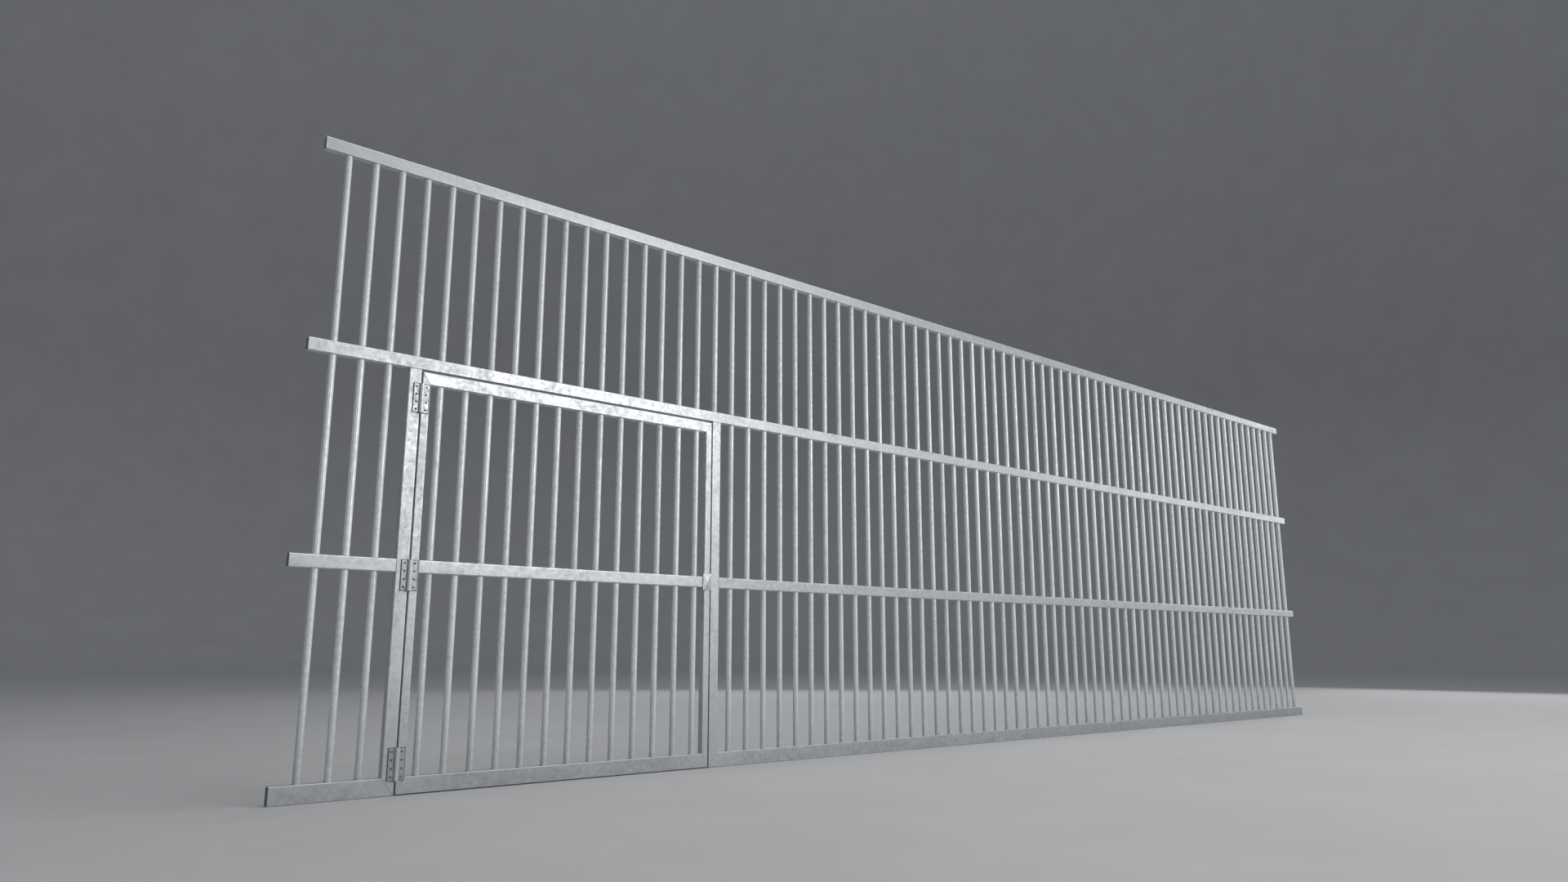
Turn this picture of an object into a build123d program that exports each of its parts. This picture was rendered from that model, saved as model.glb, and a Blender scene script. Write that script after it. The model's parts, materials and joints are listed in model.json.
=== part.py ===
from build123d import *
import math
import os

# A barred livestock wall panel with a hinged gate, in millimetres.
# X runs along the panel to the right, +Y points to the back, Z is up.
# The origin is on the ground, midway along the panel, in the middle of the rails' depth.

os.makedirs("parts", exist_ok=True)

# ---------------------------------------------------------------------------
# Driving dimensions
# ---------------------------------------------------------------------------

# Upright bars, numbered from 0 at the left end
bar_pitch = 130.0
bar_count = 76
bar_diameter = 32.0
bar_wall = 2.0
left_stub = 115.0                       # rails run on past the first bar
right_stub = 125.0                      # and past the last one
first_over_gate = 3                     # bars 3 to 17 stand only above the gate
last_over_gate = 17
first_gate_bar = 4
last_gate_bar = 16
right_bays = 5                          # the right-hand bars are grouped in bays

# Rails and posts, all rectangular hollow section
section_depth = 40.0
section_wall = 3.0
section_corner = 4.0
rail_height = 60.0
bottom_rail_height = 80.0
lower_mid_z = 992.0
upper_mid_z = 1965.0
panel_height = 3000.0
post_width = 60.0

# Gate leaf
head_gap = 10.0                         # above the leaf
latch_gap = 7.0
gate_ground_gap = 4.0
stile_width = 40.0
hinge_from_first_bar = 417.5            # the hinges' axis
hinge_to_post = 1.5                     # from that axis to the post's edge
hinge_to_leaf = 5.0                     # and to the gate's
latch_post_from_first_bar = 2187.5

# Hinges
hinge_height = 144.0
hinge_half_width = 39.5
leaf_thickness = 4.0
barrel_radius = 10.0
pin_radius = 6.0
running_clearance = 0.05
knuckle_count = 5
knuckle_gap = 0.4
sweep_gap = 0.6                         # round the other leaf's knuckles
hinge_levels = {"bottom": 137.0, "middle": 979.5, "top": 1822.0}
screw_offset = 24.0                     # from the hinge axis
screw_pitch = 37.0
screws_per_leaf = 4
screw_head_radius = 6.0
screw_head_height = 3.6
screw_shank_radius = 2.75
screw_reach = 6.0                       # past the inside of the tube wall
socket_radius = 2.0
socket_depth = 1.8

# Latch
case_height = 92.0
case_wall = 2.5
case_overhang_left = 13.0
case_overhang_right = 5.0
case_front_overhang = 5.5
case_back_overhang = 5.5
case_crown = 5.0                        # height of the four-sided front
crown_tip = 2.0
bolt_radius = 7.0
bolt_tail = 69.0
bolt_setback = 1.0                      # nose behind the stile's face when drawn back
bolt_throw = 20.0
bush_radius = 9.0
bush_length = 5.0
flange_radius = 11.0
flange_thickness = 2.0
bolt_hole_radius = 8.0
stem_radius = 3.5
stem_clearance = 0.5
stem_seat = 4.0                         # stem screwed past the bolt's axis
knob_radius = 12.0
knob_length = 30.0
knob_gap = 1.5
plate_screw_radius = 2.0
plate_screw_head = 3.75
plate_screw_head_height = 2.2
plate_screw_spacing_x = 26.0
plate_screw_spacing_z = 72.0

# Stops welded behind the latch post
stop_thickness = 5.0
stop_height = 60.0
stop_lap = 15.0                         # behind the gate's stile
stop_on_post = 30.0
stop_relief = 0.5
stop_levels = [360.0, 1590.0]

# ---------------------------------------------------------------------------
# Derived positions
# ---------------------------------------------------------------------------

panel_length = left_stub + (bar_count - 1) * bar_pitch + right_stub
left_end = -panel_length / 2
right_end = panel_length / 2
first_bar_x = left_end + left_stub
front_face = -section_depth / 2
back_face = section_depth / 2

lower_mid_top = lower_mid_z + rail_height
upper_mid_top = upper_mid_z + rail_height
top_rail_z = panel_height - rail_height

hinge_x = first_bar_x + hinge_from_first_bar
hinge_y = front_face - barrel_radius
hinge_post_right = hinge_x - hinge_to_post
hinge_post_left = hinge_post_right - post_width
latch_post_left = first_bar_x + latch_post_from_first_bar
latch_post_right = latch_post_left + post_width

gate_left = hinge_x + hinge_to_leaf
gate_right = latch_post_left - latch_gap
gate_middle = (gate_left + gate_right) / 2
gate_top = upper_mid_z - head_gap
gate_top_rail_z = gate_top - rail_height
latch_stile_left = gate_right - stile_width
latch_stile_middle = gate_right - stile_width / 2

latch_z = lower_mid_z + rail_height / 2
case_left = latch_stile_left - case_overhang_left
case_right = gate_right + case_overhang_right
case_middle = (case_left + case_right) / 2
case_width = case_right - case_left
case_front = front_face - case_front_overhang
case_back = back_face + case_back_overhang
plate_front = case_back - case_wall
bolt_nose = gate_right - bolt_setback
slot_length = bolt_throw + 2 * stem_radius + 2 * stem_clearance
slot_width = 2 * stem_radius + 2 * stem_clearance
stem_x = latch_stile_middle - bolt_throw / 2


def bar_x(number):
    """Where upright bar `number` stands along the panel."""
    return first_bar_x + number * bar_pitch


def keep(part, name):
    """Label a finished piece and write it as its own file."""
    part.label = name
    export_step(part, "parts/" + name + ".step")


# ---------------------------------------------------------------------------
# Hollow sections
# ---------------------------------------------------------------------------


def section_profile(first_size, second_size):
    """The rounded ring of a rectangular hollow section, in the active sketch."""
    RectangleRounded(first_size, second_size, section_corner)
    inner_first = first_size - 2 * section_wall
    inner_second = second_size - 2 * section_wall
    inner_corner = section_corner - section_wall
    RectangleRounded(inner_first, inner_second, inner_corner, mode=Mode.SUBTRACT)


def rail(x_start, x_stop, z_bottom, height):
    """A hollow section lying along X."""
    with BuildPart() as tube:
        with BuildSketch(Plane.YZ.offset(x_start)):
            with Locations((0, z_bottom + height / 2)):
                section_profile(section_depth, height)
        extrude(amount=x_stop - x_start)
    return tube.part


def upright(x_left, width, z_bottom, z_top):
    """A hollow section standing along Z."""
    with BuildPart() as tube:
        with BuildSketch(Plane.XY.offset(z_bottom)):
            with Locations((x_left + width / 2, 0)):
                section_profile(width, section_depth)
        extrude(amount=z_top - z_bottom)
    return tube.part


def mitre_plane(inner_corner, outer_corner):
    """The plane of a corner joint, through two (x, z) points and square to the panel."""
    run = outer_corner[0] - inner_corner[0]
    rise = outer_corner[1] - inner_corner[1]
    origin = (inner_corner[0], 0, inner_corner[1])
    return Plane(origin=origin, x_dir=(0, 1, 0), z_dir=(rise, 0, -run))


def mitred(part, cuts, inside_point):
    """Cut a tube at each mitre plane and keep the side where inside_point lies."""
    with BuildPart() as piece:
        add(part)
        for plane in cuts:
            side = plane.to_local_coords(Vector(*inside_point)).Z
            split(bisect_by=plane, keep=Keep.TOP if side > 0 else Keep.BOTTOM)
    return piece.part


# ---------------------------------------------------------------------------
# Screw holes and screws
# ---------------------------------------------------------------------------


def screw_levels(z_middle):
    """Heights of the four screws in one hinge leaf."""
    lowest = z_middle - screw_pitch * (screws_per_leaf - 1) / 2
    return [lowest + screw_pitch * step for step in range(screws_per_leaf)]


def drilled_for_hinges(part, side):
    """Drill the front wall of a post (side -1) or stile (side +1) for all its hinge screws."""
    with BuildPart() as piece:
        add(part)
        with BuildSketch(Plane.XZ.offset(-front_face)):
            for z_middle in hinge_levels.values():
                for z_screw in screw_levels(z_middle):
                    with Locations((hinge_x + side * screw_offset, z_screw)):
                        Circle(screw_shank_radius)
        extrude(amount=-section_wall, mode=Mode.SUBTRACT)
    return piece.part


def dome_middle(radius, height):
    """Halfway along a dome's arc: the distance from its axis and the height above its rim."""
    sphere_radius = (radius**2 + height**2) / (2 * height)
    half_angle = math.asin(radius / sphere_radius) / 2
    drop = sphere_radius * (1 - math.cos(half_angle))
    return sphere_radius * math.sin(half_angle), height - drop


def dome_screws(side, z_middle):
    """The four dome-headed screws of one hinge leaf."""
    leaf_front = front_face - leaf_thickness
    x_screw = hinge_x + side * screw_offset
    shank_length = leaf_thickness + section_wall + screw_reach
    dome_x, dome_y = dome_middle(screw_head_radius, screw_head_height)
    with BuildPart() as screws:
        for z_screw in screw_levels(z_middle):
            head_plane = Plane(origin=(x_screw, leaf_front, z_screw), x_dir=(1, 0, 0), z_dir=(0, 0, 1))
            with BuildSketch(head_plane):
                with BuildLine():
                    Polyline(
                        (0, shank_length),
                        (screw_shank_radius, shank_length),
                        (screw_shank_radius, 0),
                        (screw_head_radius, 0),
                    )
                    ThreePointArc((screw_head_radius, 0), (dome_x, -dome_y), (0, -screw_head_height))
                    Line((0, -screw_head_height), (0, shank_length))
                make_face()
            revolve(axis=Axis((x_screw, 0, z_screw), (0, 1, 0)))
            with BuildSketch(Plane.XZ.offset(screw_head_height - leaf_front)):
                with Locations((x_screw, z_screw)):
                    RegularPolygon(socket_radius, 6)
            extrude(amount=-socket_depth, mode=Mode.SUBTRACT)
    return screws.part


# ---------------------------------------------------------------------------
# Fixed frame: rails and posts
# ---------------------------------------------------------------------------


def build_fixed_frame():
    hinge_mitre = mitre_plane((hinge_post_left, bottom_rail_height), (hinge_post_right, 0))
    latch_mitre = mitre_plane((latch_post_right, bottom_rail_height), (latch_post_left, 0))
    near_left_end = (left_end, 0, bottom_rail_height / 2)
    near_right_end = (right_end, 0, bottom_rail_height / 2)

    left_bottom = rail(left_end, hinge_post_right, 0, bottom_rail_height)
    keep(mitred(left_bottom, [hinge_mitre], near_left_end), "bottom_rail_left")
    right_bottom = rail(latch_post_left, right_end, 0, bottom_rail_height)
    keep(mitred(right_bottom, [latch_mitre], near_right_end), "bottom_rail_right")

    keep(rail(left_end, hinge_post_left, lower_mid_z, rail_height), "lower_mid_rail_left")
    keep(rail(latch_post_right, right_end, lower_mid_z, rail_height), "lower_mid_rail_right")
    keep(rail(left_end, right_end, upper_mid_z, rail_height), "upper_mid_rail")
    keep(rail(left_end, right_end, top_rail_z, rail_height), "top_rail")

    hinge_post = upright(hinge_post_left, post_width, 0, upper_mid_z)
    hinge_post_head = (hinge_post_left + post_width / 2, 0, upper_mid_z)
    hinge_post = mitred(hinge_post, [hinge_mitre], hinge_post_head)
    keep(drilled_for_hinges(hinge_post, -1), "hinge_post")

    latch_post = upright(latch_post_left, post_width, 0, upper_mid_z)
    latch_post_head = (latch_post_left + post_width / 2, 0, upper_mid_z)
    latch_post = mitred(latch_post, [latch_mitre], latch_post_head)
    with BuildPart() as drilled_post:
        add(latch_post)
        with BuildSketch(Plane.YZ.offset(latch_post_left)):
            with Locations((0, latch_z)):
                Circle(bolt_hole_radius)
        extrude(amount=section_wall, mode=Mode.SUBTRACT)
    keep(drilled_post.part, "latch_post")


def build_gate_stops():
    """Two plates behind the latch post that the closed gate comes to rest against."""
    with BuildPart() as stops:
        for z_middle in stop_levels:
            with BuildSketch(Plane.XY.offset(z_middle - stop_height / 2)):
                with BuildLine():
                    Polyline(
                        (latch_post_left + stop_on_post, back_face),
                        (latch_post_left + stop_on_post, back_face + stop_thickness),
                        (gate_right - stop_lap, back_face + stop_thickness),
                        (gate_right - stop_lap, back_face + stop_relief),
                        (latch_post_left, back_face + stop_relief),
                        (latch_post_left, back_face),
                        (latch_post_left + stop_on_post, back_face),
                    )
                make_face()
            extrude(amount=stop_height)
    keep(stops.part, "gate_stops")


# ---------------------------------------------------------------------------
# Upright bars, cut to fit between the rails
# ---------------------------------------------------------------------------


def bar_group(numbers, z_bottom, z_top, name):
    """Round tubes standing side by side between two rails, as separate solids."""
    with BuildPart() as bars:
        with BuildSketch(Plane.XY.offset(z_bottom)):
            with Locations(*[(bar_x(number), 0) for number in numbers]):
                Circle(bar_diameter / 2)
                Circle(bar_diameter / 2 - bar_wall, mode=Mode.SUBTRACT)
        extrude(amount=z_top - z_bottom)
    keep(bars.part, name)


def bar_tiers(numbers, prefix):
    """The same bars in all three spaces between the four rails."""
    bar_group(numbers, bottom_rail_height, lower_mid_z, prefix + "_lower_bars")
    bar_group(numbers, lower_mid_top, upper_mid_z, prefix + "_middle_bars")
    bar_group(numbers, upper_mid_top, top_rail_z, prefix + "_upper_bars")


def build_fixed_bars():
    bar_tiers(range(first_over_gate), "left")
    over_gate = range(first_over_gate, last_over_gate + 1)
    bar_group(over_gate, upper_mid_top, top_rail_z, "over_gate_bars")
    first_right = last_over_gate + 1
    right_total = bar_count - first_right
    for bay in range(right_bays):
        bay_start = first_right + math.ceil(right_total * bay / right_bays)
        bay_stop = first_right + math.ceil(right_total * (bay + 1) / right_bays)
        bar_tiers(range(bay_start, bay_stop), "bay_" + str(bay + 1))


# ---------------------------------------------------------------------------
# Gate leaf
# ---------------------------------------------------------------------------


def latch_stile_with_openings(stile):
    """Bolt bores in both sides and the knob's slot in the back of the latch stile."""
    with BuildPart() as piece:
        add(stile)
        for wall_start in (latch_stile_left, gate_right - section_wall):
            with BuildSketch(Plane.YZ.offset(wall_start)):
                with Locations((0, latch_z)):
                    Circle(bush_radius)
            extrude(amount=section_wall, mode=Mode.SUBTRACT)
        with BuildSketch(Plane.XZ.offset(-back_face)):
            with Locations((latch_stile_middle, latch_z)):
                SlotOverall(slot_length, slot_width)
            with Locations((latch_stile_middle, latch_z)):
                with GridLocations(plate_screw_spacing_x, plate_screw_spacing_z, 2, 2):
                    Circle(plate_screw_radius)
        extrude(amount=section_wall, mode=Mode.SUBTRACT)
    return piece.part


def build_gate_frame():
    left_inner = gate_left + stile_width
    low_left = mitre_plane((left_inner, bottom_rail_height), (gate_left, gate_ground_gap))
    low_right = mitre_plane((latch_stile_left, bottom_rail_height), (gate_right, gate_ground_gap))
    high_left = mitre_plane((left_inner, gate_top_rail_z), (gate_left, gate_top))
    high_right = mitre_plane((latch_stile_left, gate_top_rail_z), (gate_right, gate_top))

    hinge_stile = upright(gate_left, stile_width, gate_ground_gap, gate_top)
    stile_middle = (gate_left + stile_width / 2, 0, latch_z)
    hinge_stile = mitred(hinge_stile, [low_left, high_left], stile_middle)
    keep(drilled_for_hinges(hinge_stile, +1), "hinge_stile")

    latch_stile = upright(latch_stile_left, stile_width, gate_ground_gap, gate_top)
    latch_stile = mitred(latch_stile, [low_right, high_right], (latch_stile_middle, 0, latch_z))
    keep(latch_stile_with_openings(latch_stile), "latch_stile")

    low_height = bottom_rail_height - gate_ground_gap
    low_rail = rail(gate_left, gate_right, gate_ground_gap, low_height)
    low_rail = mitred(low_rail, [low_left, low_right], (gate_middle, 0, bottom_rail_height / 2))
    keep(low_rail, "gate_bottom_rail")

    high_rail = rail(gate_left, gate_right, gate_top_rail_z, rail_height)
    high_rail = mitred(high_rail, [high_left, high_right], (gate_middle, 0, gate_top))
    keep(high_rail, "gate_top_rail")
    keep(rail(left_inner, latch_stile_left, lower_mid_z, rail_height), "gate_mid_rail")


def build_gate_bars():
    numbers = range(first_gate_bar, last_gate_bar + 1)
    bar_group(numbers, bottom_rail_height, lower_mid_z, "gate_lower_bars")
    bar_group(numbers, lower_mid_top, gate_top_rail_z, "gate_upper_bars")


# ---------------------------------------------------------------------------
# Butt hinges on the front face
# ---------------------------------------------------------------------------


def knuckle_spans(z_middle, first):
    """(bottom, length) of every second knuckle, from knuckle `first`."""
    step = hinge_height / knuckle_count
    z_bottom = z_middle - hinge_height / 2
    return [
        (z_bottom + step * index + knuckle_gap / 2, step - knuckle_gap)
        for index in range(first, knuckle_count, 2)
    ]


def barrel_cylinder(z_bottom, length, radius, mode):
    """A cylinder round the hinge axis, added to or cut from the active part."""
    on_axis = (Align.CENTER, Align.CENTER, Align.MIN)
    with Locations((hinge_x, hinge_y, z_bottom)):
        Cylinder(radius, length, align=on_axis, mode=mode)


def hinge_leaf(side, z_middle):
    """One leaf: a plate flat on the frame and its share of the barrel's knuckles."""
    own_first = 0 if side < 0 else 1
    bore = pin_radius if side < 0 else pin_radius + running_clearance
    z_bottom = z_middle - hinge_height / 2
    with BuildPart() as leaf:
        with BuildSketch(Plane.XY.offset(z_bottom)):
            plate_middle = hinge_x + side * hinge_half_width / 2
            with Locations((plate_middle, front_face - leaf_thickness / 2)):
                Rectangle(hinge_half_width, leaf_thickness)
        extrude(amount=hinge_height)
        for other_bottom, other_length in knuckle_spans(z_middle, 1 - own_first):
            clear_bottom = other_bottom - knuckle_gap
            clear_length = other_length + 2 * knuckle_gap
            barrel_cylinder(clear_bottom, clear_length, barrel_radius + sweep_gap, Mode.SUBTRACT)
        for own_bottom, own_length in knuckle_spans(z_middle, own_first):
            barrel_cylinder(own_bottom, own_length, barrel_radius, Mode.ADD)
        barrel_cylinder(z_bottom, hinge_height, bore, Mode.SUBTRACT)
        with BuildSketch(Plane.XZ.offset(leaf_thickness - front_face)):
            for z_screw in screw_levels(z_middle):
                with Locations((hinge_x + side * screw_offset, z_screw)):
                    Circle(screw_shank_radius)
        extrude(amount=-leaf_thickness, mode=Mode.SUBTRACT)
    return leaf.part


def hinge_pin(z_middle):
    """The pin, pressed into the post leaf's knuckles."""
    end_chamfer = 1.0
    with BuildPart() as pin:
        with BuildSketch(Plane.XY.offset(z_middle - hinge_height / 2)):
            with Locations((hinge_x, hinge_y)):
                Circle(pin_radius)
        extrude(amount=hinge_height)
        chamfer(pin.edges().filter_by(GeomType.CIRCLE), length=end_chamfer)
    return pin.part


def build_hinges():
    for level, z_middle in hinge_levels.items():
        name = level + "_hinge"
        keep(hinge_leaf(-1, z_middle), name + "_post_leaf")
        keep(hinge_leaf(+1, z_middle), name + "_gate_leaf")
        keep(hinge_pin(z_middle), name + "_pin")
        keep(dome_screws(-1, z_middle), name + "_post_screws")
        keep(dome_screws(+1, z_middle), name + "_gate_screws")


# ---------------------------------------------------------------------------
# Latch: case, back plate, bolt, bushes and knob
# ---------------------------------------------------------------------------


def crowned_block(inset):
    """A block with a shallow four-sided front; inset shrinks it to the case's inner form."""
    width = case_width - 2 * inset
    height = case_height - 2 * inset
    front_offset = -case_front - inset
    with BuildPart() as block:
        with BuildSketch(Plane.XZ.offset(front_offset)):
            with Locations((case_middle, latch_z)):
                Rectangle(width, height)
        extrude(amount=-(plate_front + front_offset))
        with BuildSketch(Plane.XZ.offset(front_offset)):
            with Locations((case_middle, latch_z)):
                Rectangle(width, height)
        with BuildSketch(Plane.XZ.offset(front_offset + case_crown)):
            with Locations((case_middle, latch_z)):
                Rectangle(crown_tip, crown_tip * height / width)
        loft(ruled=True)
    return block.part


def build_latch_case():
    """A folded shell let over the stile from the front, open at the back."""
    with BuildPart() as case:
        add(crowned_block(0))
        add(crowned_block(case_wall), mode=Mode.SUBTRACT)
        with BuildSketch(Plane.XY.offset(latch_z - case_height / 2)):
            with Locations((latch_stile_middle, (front_face + plate_front) / 2)):
                Rectangle(stile_width, plate_front - front_face)
        extrude(amount=case_height, mode=Mode.SUBTRACT)
        with BuildSketch(Plane.YZ.offset(case_left)):
            with Locations(((front_face + plate_front) / 2, latch_z)):
                Rectangle(plate_front - front_face, rail_height)
        extrude(amount=case_wall, mode=Mode.SUBTRACT)
        with BuildSketch(Plane.YZ.offset(case_right - case_wall)):
            with Locations((0, latch_z)):
                Circle(bolt_hole_radius)
        extrude(amount=case_wall, mode=Mode.SUBTRACT)
    keep(case.part, "latch_case")


def build_latch_back_plate():
    with BuildPart() as plate:
        with BuildSketch(Plane.XZ.offset(-case_back)):
            with Locations((case_middle, latch_z)):
                Rectangle(case_width, case_height)
            with Locations((latch_stile_middle, latch_z)):
                SlotOverall(slot_length, slot_width, mode=Mode.SUBTRACT)
                with GridLocations(plate_screw_spacing_x, plate_screw_spacing_z, 2, 2):
                    Circle(plate_screw_radius, mode=Mode.SUBTRACT)
        extrude(amount=case_wall)
    keep(plate.part, "latch_back_plate")


def build_back_plate_screws():
    """Four small screws through the back plate into the stile."""
    shank_length = case_back - back_face + section_wall + plate_screw_radius
    with BuildPart() as screws:
        with BuildSketch(Plane.XZ.offset(-case_back)):
            with Locations((latch_stile_middle, latch_z)):
                with GridLocations(plate_screw_spacing_x, plate_screw_spacing_z, 2, 2):
                    Circle(plate_screw_radius)
        extrude(amount=shank_length)
        with BuildSketch(Plane.XZ.offset(-case_back)):
            with Locations((latch_stile_middle, latch_z)):
                with GridLocations(plate_screw_spacing_x, plate_screw_spacing_z, 2, 2):
                    Circle(plate_screw_head)
        extrude(amount=-plate_screw_head_height)
        crown_edges = screws.edges().filter_by(GeomType.CIRCLE).group_by(Axis.Y)[-1]
        fillet(crown_edges, radius=plate_screw_head_height * 0.6)
        with BuildSketch(Plane.XZ.offset(-case_back - plate_screw_head_height)):
            with Locations((latch_stile_middle, latch_z)):
                with GridLocations(plate_screw_spacing_x, plate_screw_spacing_z, 2, 2):
                    RegularPolygon(socket_radius * 0.75, 6)
        extrude(amount=plate_screw_head_height * 0.5, mode=Mode.SUBTRACT)
    keep(screws.part, "latch_plate_screws")


def build_latch_bolt():
    """The sliding bolt, drawn back into the stile, cross-drilled for the knob's stem."""
    nose_chamfer = 2.0
    with BuildPart() as bolt:
        with BuildSketch(Plane.YZ.offset(bolt_nose)):
            with Locations((0, latch_z)):
                Circle(bolt_radius)
        extrude(amount=-bolt_tail)
        round_edges = bolt.edges().filter_by(GeomType.CIRCLE)
        chamfer(round_edges.sort_by(Axis.X)[-1], length=nose_chamfer)
        with BuildSketch(Plane.XZ.offset(stem_seat)):
            with Locations((stem_x, latch_z)):
                Circle(stem_radius)
        extrude(amount=-(stem_seat + bolt_radius), mode=Mode.SUBTRACT)
    keep(bolt.part, "latch_bolt")


def bolt_bush(face_x, outward, name):
    """A flanged bush in one side wall of the stile; its flange is outside the wall."""
    with BuildPart() as bush:
        with BuildSketch(Plane.YZ.offset(face_x)):
            with Locations((0, latch_z)):
                Circle(bush_radius)
        extrude(amount=-outward * bush_length)
        with BuildSketch(Plane.YZ.offset(face_x)):
            with Locations((0, latch_z)):
                Circle(flange_radius)
        extrude(amount=outward * flange_thickness)
        with BuildSketch(Plane.YZ.offset(face_x - outward * bush_length)):
            with Locations((0, latch_z)):
                Circle(bolt_radius + running_clearance)
        extrude(amount=outward * (bush_length + flange_thickness), mode=Mode.SUBTRACT)
    keep(bush.part, name)


def build_bolt_knob():
    """A turned knob and its stem, screwed into the bolt from behind."""
    knob_start = case_back + knob_gap
    knob_end = knob_start + knob_length
    collar_radius = knob_radius * 0.6
    collar_end = knob_start + knob_length * 0.4
    crown_start = knob_start + knob_length * 0.6
    crown_x, crown_y = dome_middle(knob_radius, knob_end - crown_start)
    axis_plane = Plane(origin=(stem_x, 0, latch_z), x_dir=(1, 0, 0), z_dir=(0, 0, 1))
    with BuildPart() as knob:
        with BuildSketch(axis_plane):
            with BuildLine():
                Polyline(
                    (0, -stem_seat),
                    (stem_radius, -stem_seat),
                    (stem_radius, knob_start),
                    (collar_radius, knob_start),
                    (collar_radius, collar_end),
                    (knob_radius, crown_start),
                )
                crown_middle = (crown_x, crown_start + crown_y)
                ThreePointArc((knob_radius, crown_start), crown_middle, (0, knob_end))
                Line((0, knob_end), (0, -stem_seat))
            make_face()
        revolve(axis=Axis((stem_x, 0, latch_z), (0, 1, 0)))
    keep(knob.part, "bolt_knob")


def build_latch():
    build_latch_case()
    build_latch_back_plate()
    build_back_plate_screws()
    build_latch_bolt()
    bolt_bush(gate_right, +1, "bolt_bush_outer")
    bolt_bush(latch_stile_left, -1, "bolt_bush_inner")
    build_bolt_knob()


build_fixed_frame()
build_gate_stops()
build_fixed_bars()
build_gate_frame()
build_gate_bars()
build_hinges()
build_latch()
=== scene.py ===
"""The looks of the livestock panel gate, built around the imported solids. Metres, Z up.

X runs along the panel to the right, +Y goes through it to the back, and the ground is at Z = 0.
Rails, posts, stiles and bars are rebuilt as finer meshes, and weld beads are added where they meet.
Hinges, screws, stops and the latch keep their solids and get softened edges. Every surface has a
procedural material.
"""

import json
import math
import random

import bmesh
import bpy
from mathutils import Matrix, Vector


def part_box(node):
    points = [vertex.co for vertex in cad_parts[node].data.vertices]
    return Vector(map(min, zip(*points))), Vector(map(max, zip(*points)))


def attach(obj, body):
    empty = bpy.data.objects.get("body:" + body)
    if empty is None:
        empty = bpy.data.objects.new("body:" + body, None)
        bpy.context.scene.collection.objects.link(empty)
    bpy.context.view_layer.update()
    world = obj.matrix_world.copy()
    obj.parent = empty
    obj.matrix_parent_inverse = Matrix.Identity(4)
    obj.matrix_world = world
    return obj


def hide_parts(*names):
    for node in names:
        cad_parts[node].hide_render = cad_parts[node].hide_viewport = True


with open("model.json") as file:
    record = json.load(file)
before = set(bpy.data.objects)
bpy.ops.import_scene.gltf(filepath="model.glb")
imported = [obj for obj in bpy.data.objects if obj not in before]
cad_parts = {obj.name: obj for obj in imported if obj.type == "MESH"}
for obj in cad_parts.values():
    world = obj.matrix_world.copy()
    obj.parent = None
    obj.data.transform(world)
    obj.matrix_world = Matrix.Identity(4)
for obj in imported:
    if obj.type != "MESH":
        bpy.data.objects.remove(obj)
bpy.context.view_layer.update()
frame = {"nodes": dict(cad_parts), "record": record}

MM = 0.001
rng = random.Random(41)                 # evenness of the beads, tones and texture offsets

# Sections and bars, as in the solids
SECTION_WALL = 3 * MM
SECTION_CORNER = 4 * MM
BAR_PITCH = 130 * MM
BAR_WALL = 2 * MM

# Mesh fineness
CORNER_STEPS = 6
BAR_SEGMENTS = 40
RAIL_STRIP = 0.26                       # length of one strip of a long member
END_CHAMFER = 0.5 * MM
WEAR_AND_HIGHLIGHT_BAND = 4 * MM                      # how far the wear and painted highlight reach in from a section's corners

# Holes for the latch, as in the solids
BOLT_HOLE_RADIUS = 8 * MM
BUSH_HOLE_RADIUS = 9 * MM
SLOT_LENGTH = 28 * MM                   # the slot for the knob's stem
SLOT_WIDTH = 8 * MM
PLATE_SCREWS_X = 26 * MM                # spacing of the back plate's screws
PLATE_SCREWS_Z = 72 * MM
PLATE_SCREW_RADIUS = 2 * MM
HOLE_SEGMENTS = 48

# Stop plates behind the latch post, as in the solids
STOP_HEIGHT = 60 * MM
STOP_WELD_START = 5 * MM                # in from the post's edge next to the gate

# Weld beads
RING_RADIUS = 2.1 * MM                  # the bead round a bar's end, measured across its own run
RING_STEPS = 32
RING_STAND_OFF = 0.35                   # share of its radius that its middle stands off both metals
RING_OVERLAP_TURN = 0.4                 # radians of the run that are doubled
RING_OVERLAP_SIZE = 1.18
BEAD_SIDES = 7
BEAD_STEP = 2.4 * MM                    # between the ripples of a straight bead
BEAD_UNEVEN = 0.14                      # share of the radius by which a ripple may differ
BUTT_RADIUS = 2.3 * MM
BUTT_INSET = 1.1 * MM                   # how far a butt bead's middle lies inside the tube's face
STOP_BEAD_RADIUS = BUTT_RADIUS * 0.9
MITRE_RADIUS = 2.4 * MM
MITRE_INSET = 1.7 * MM
MITRE_START = 0.01                      # shares of the way along the joint
MITRE_STOP = 0.955
BEAD_REFERENCE = Vector((0.31, 0.86, 0.41))     # along none of the beads

# Softened edges of the kept solids
JOIN_DISTANCE = 0.005 * MM
FLAT_ANGLE = 0.5                        # degrees
EDGE_ANGLE = 35
CROWN_ANGLE = 9                         # below the turn between the latch case's front facets

# Floor and backdrop
FLOOR_HOLE = 0.02                       # radius of the floor's middle face
FLOOR_RADIUS = 30.0
FLOOR_BEND = 12.0
FLOOR_BEND_STEPS = 16
BACKDROP_HEIGHT = 40.0
FLOOR_SEGMENTS = 96


# ---------------------------------------------------------------------------
# Materials
# ---------------------------------------------------------------------------


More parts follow.
